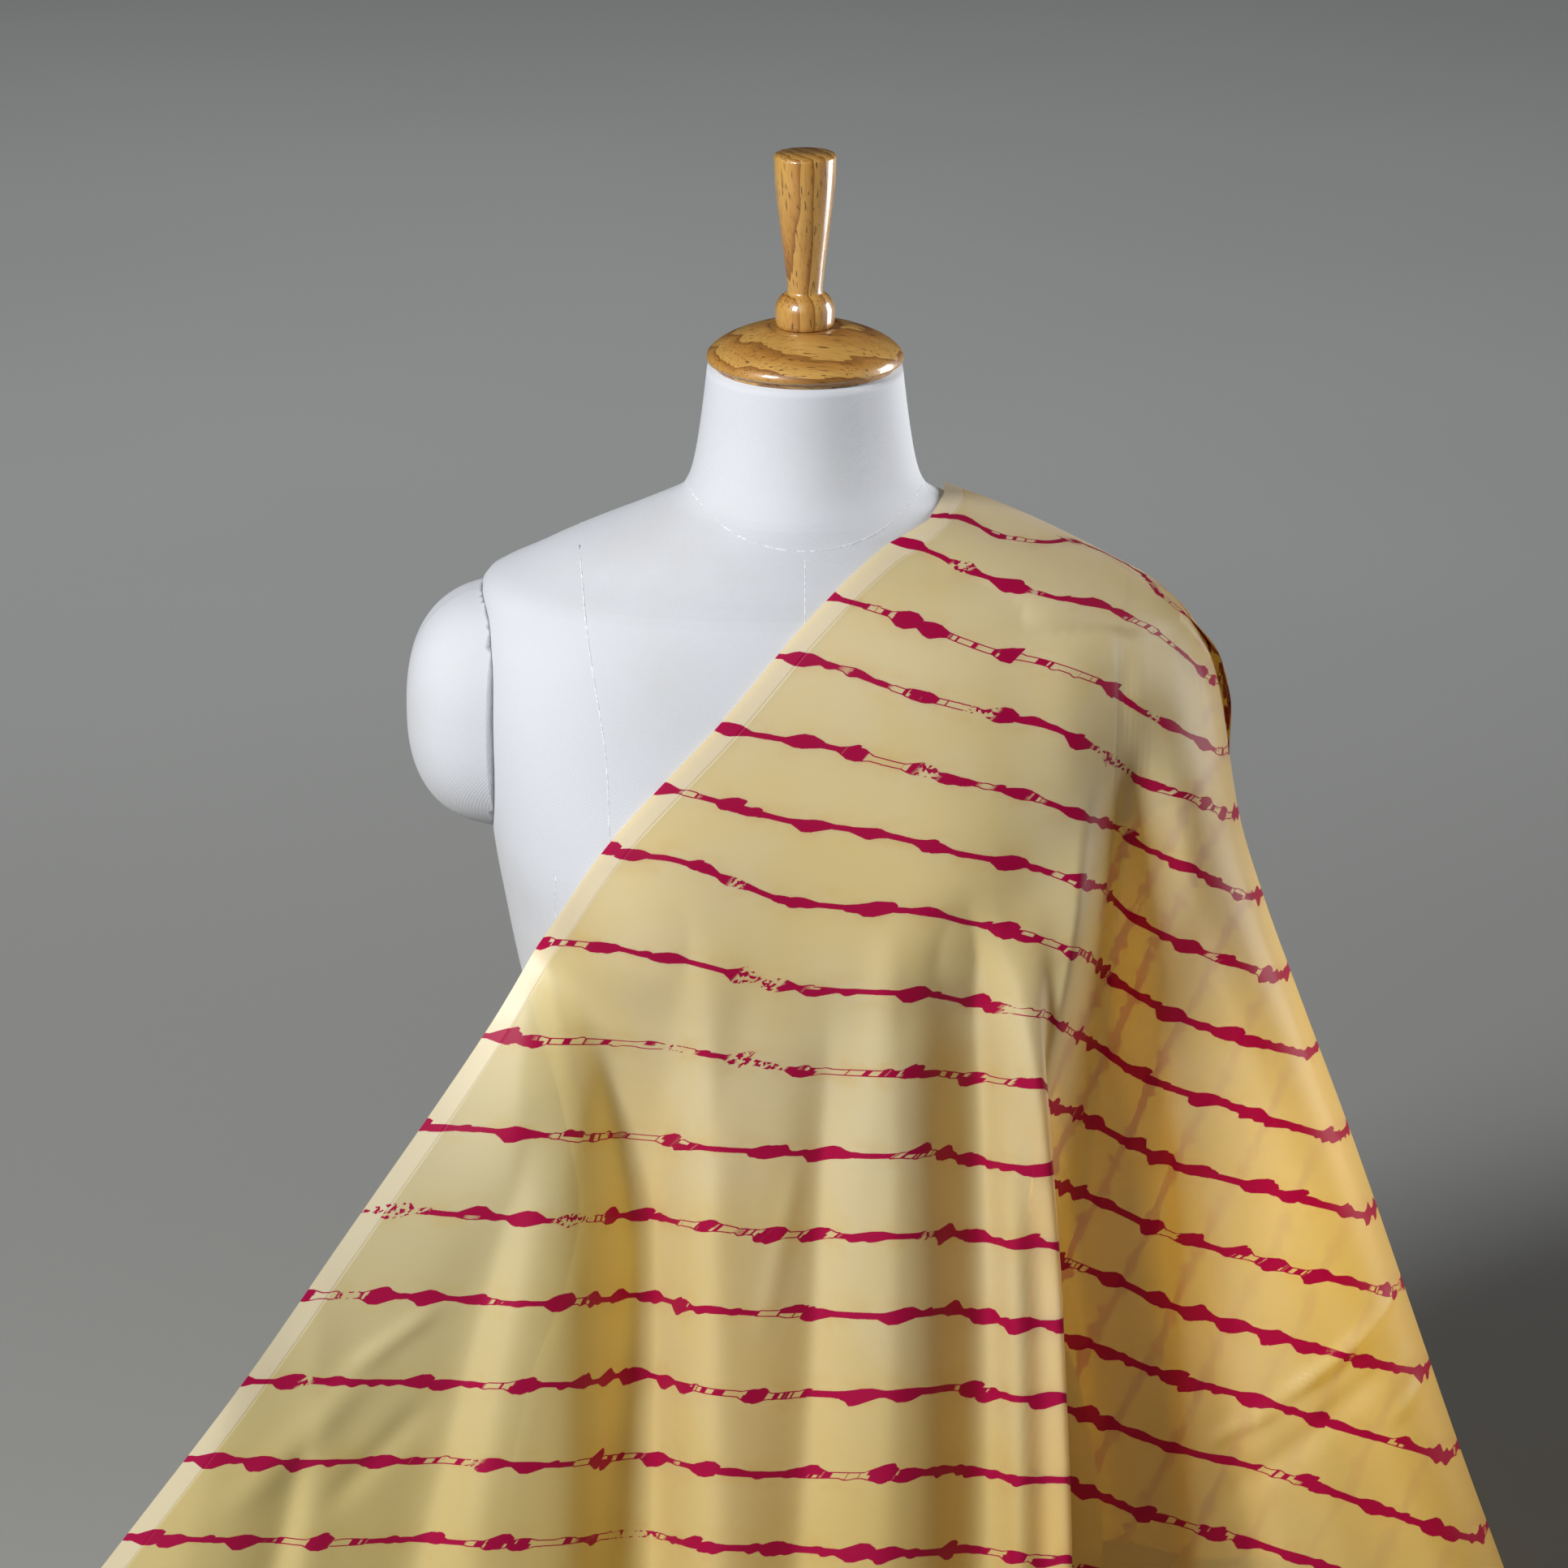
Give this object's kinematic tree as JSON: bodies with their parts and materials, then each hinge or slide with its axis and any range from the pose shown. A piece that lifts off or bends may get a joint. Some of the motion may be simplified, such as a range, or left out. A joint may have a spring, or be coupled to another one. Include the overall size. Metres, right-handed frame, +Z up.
{
  "type": "leheriya tie-dye fabric draped on a dress form",
  "caption": "Sheer pale gold leheriya tie-dye cloth with wavering crimson stripes, draped over one shoulder of a headless canvas dress form with a turned wooden neck cap.",
  "frame": {"origin": "middle of the underside of the base board, on the surface that the form stands on", "axes": "+Z up; the form faces -Y; +X towards the form's left shoulder, which the cloth covers"},
  "size_m": [0.9567, 0.4054, 0.8422],
  "materials": {
    "canvas": "matt white cotton canvas",
    "turned_wood": "lacquered, high gloss",
    "board": "plain satin",
    "dyed_silk": "sheer fine twill, soft sheen, crimson resist-dyed stripes"
  },
  "bodies": {
    "root": {"torso": "canvas", "arm_pad_right": "canvas", "arm_pad_left": "canvas", "neck_cap": "turned_wood", "finial": "turned_wood", "base_board": "board", "cloth": "dyed_silk"}
  },
  "joints": []
}
